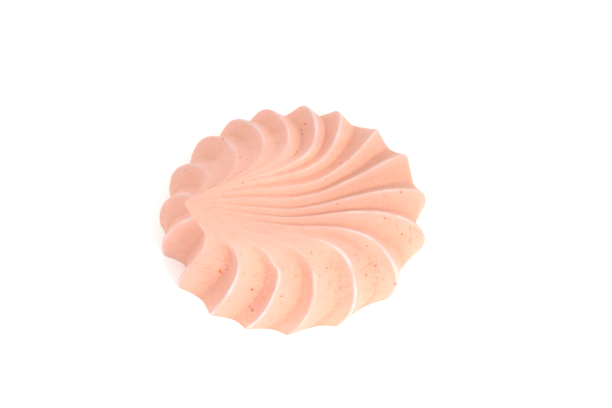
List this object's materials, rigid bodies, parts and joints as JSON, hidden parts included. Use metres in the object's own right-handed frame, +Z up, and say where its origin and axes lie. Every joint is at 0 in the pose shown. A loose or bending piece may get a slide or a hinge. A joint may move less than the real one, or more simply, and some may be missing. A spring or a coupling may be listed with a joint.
{
  "type": "meringue cookie",
  "caption": "Piped meringue swirl: sharp curved ridges rise from a flat scalloped foot and run together into a tail pulled to one side.",
  "frame": {"origin": "centre of the circle that the ridges' feet stand on, in the plane of the flat foot", "axes": "+Z up from the flat foot; -X towards the pulled tail, +X towards the low broad end"},
  "size_m": [0.055, 0.0512, 0.0184],
  "materials": {
    "meringue": "matt baked egg white and sugar, peach pink, paler along the crests"
  },
  "bodies": {
    "root": {"meringue": "meringue"}
  },
  "joints": []
}
